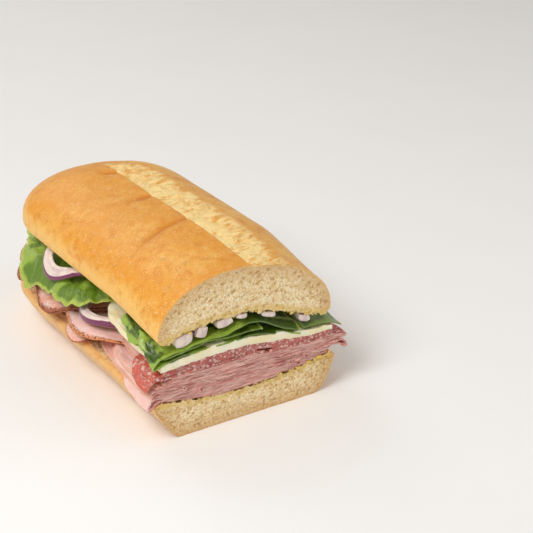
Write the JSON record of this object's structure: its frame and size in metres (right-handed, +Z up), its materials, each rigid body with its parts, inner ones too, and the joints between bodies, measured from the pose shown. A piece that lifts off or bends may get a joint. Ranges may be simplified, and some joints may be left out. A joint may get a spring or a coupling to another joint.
{
  "type": "submarine sandwich",
  "caption": "Half of a long submarine sandwich cut across, a crusty roll with sliced ham, salami, cheese, lettuce and red onion.",
  "frame": {"origin": "on the flat underside of the bottom half of the roll, near its middle", "axes": "+Z up from the flat underside, +Y from the cut face to the closed end, +X to the right as seen facing the cut face"},
  "size_m": [0.0983, 0.147, 0.068],
  "materials": {
    "crust": "baked crust, satin, with pale crumb where it is cut",
    "ham": "moist sliced ham",
    "hot_ham": "moist sliced ham with a dark seasoned edge",
    "salami": "moist sliced salami with pale fat",
    "cheese": "pale sliced cheese, satin",
    "lettuce": "fresh leaf, slightly glossy",
    "onion": "moist onion with purple skin"
  },
  "bodies": {
    "root": {"roll_bottom": "crust", "roll_top": "crust", "ham_1": "ham", "ham_2": "ham", "ham_3": "ham", "ham_4": "ham", "ham_5": "ham", "ham_6": "ham", "ham_7": "ham", "ham_8": "ham", "ham_9": "ham", "ham_fold": "hot_ham", "hot_ham_1": "hot_ham", "hot_ham_2": "hot_ham", "salami_1": "salami", "salami_2": "salami", "salami_3": "salami", "salami_4": "salami", "salami_5": "salami", "salami_6": "salami", "cheese_1": "cheese", "cheese_2": "cheese", "lettuce_1": "lettuce", "lettuce_2": "lettuce", "lettuce_3": "lettuce", "lettuce_4": "lettuce", "lettuce_5": "lettuce", "onion_ring_1": "onion", "onion_ring_2": "onion", "onion_ring_3": "onion", "onion_dice_1": "onion", "onion_dice_2": "onion", "onion_dice_3": "onion", "onion_dice_4": "onion", "onion_dice_5": "onion", "onion_dice_6": "onion"}
  },
  "joints": []
}
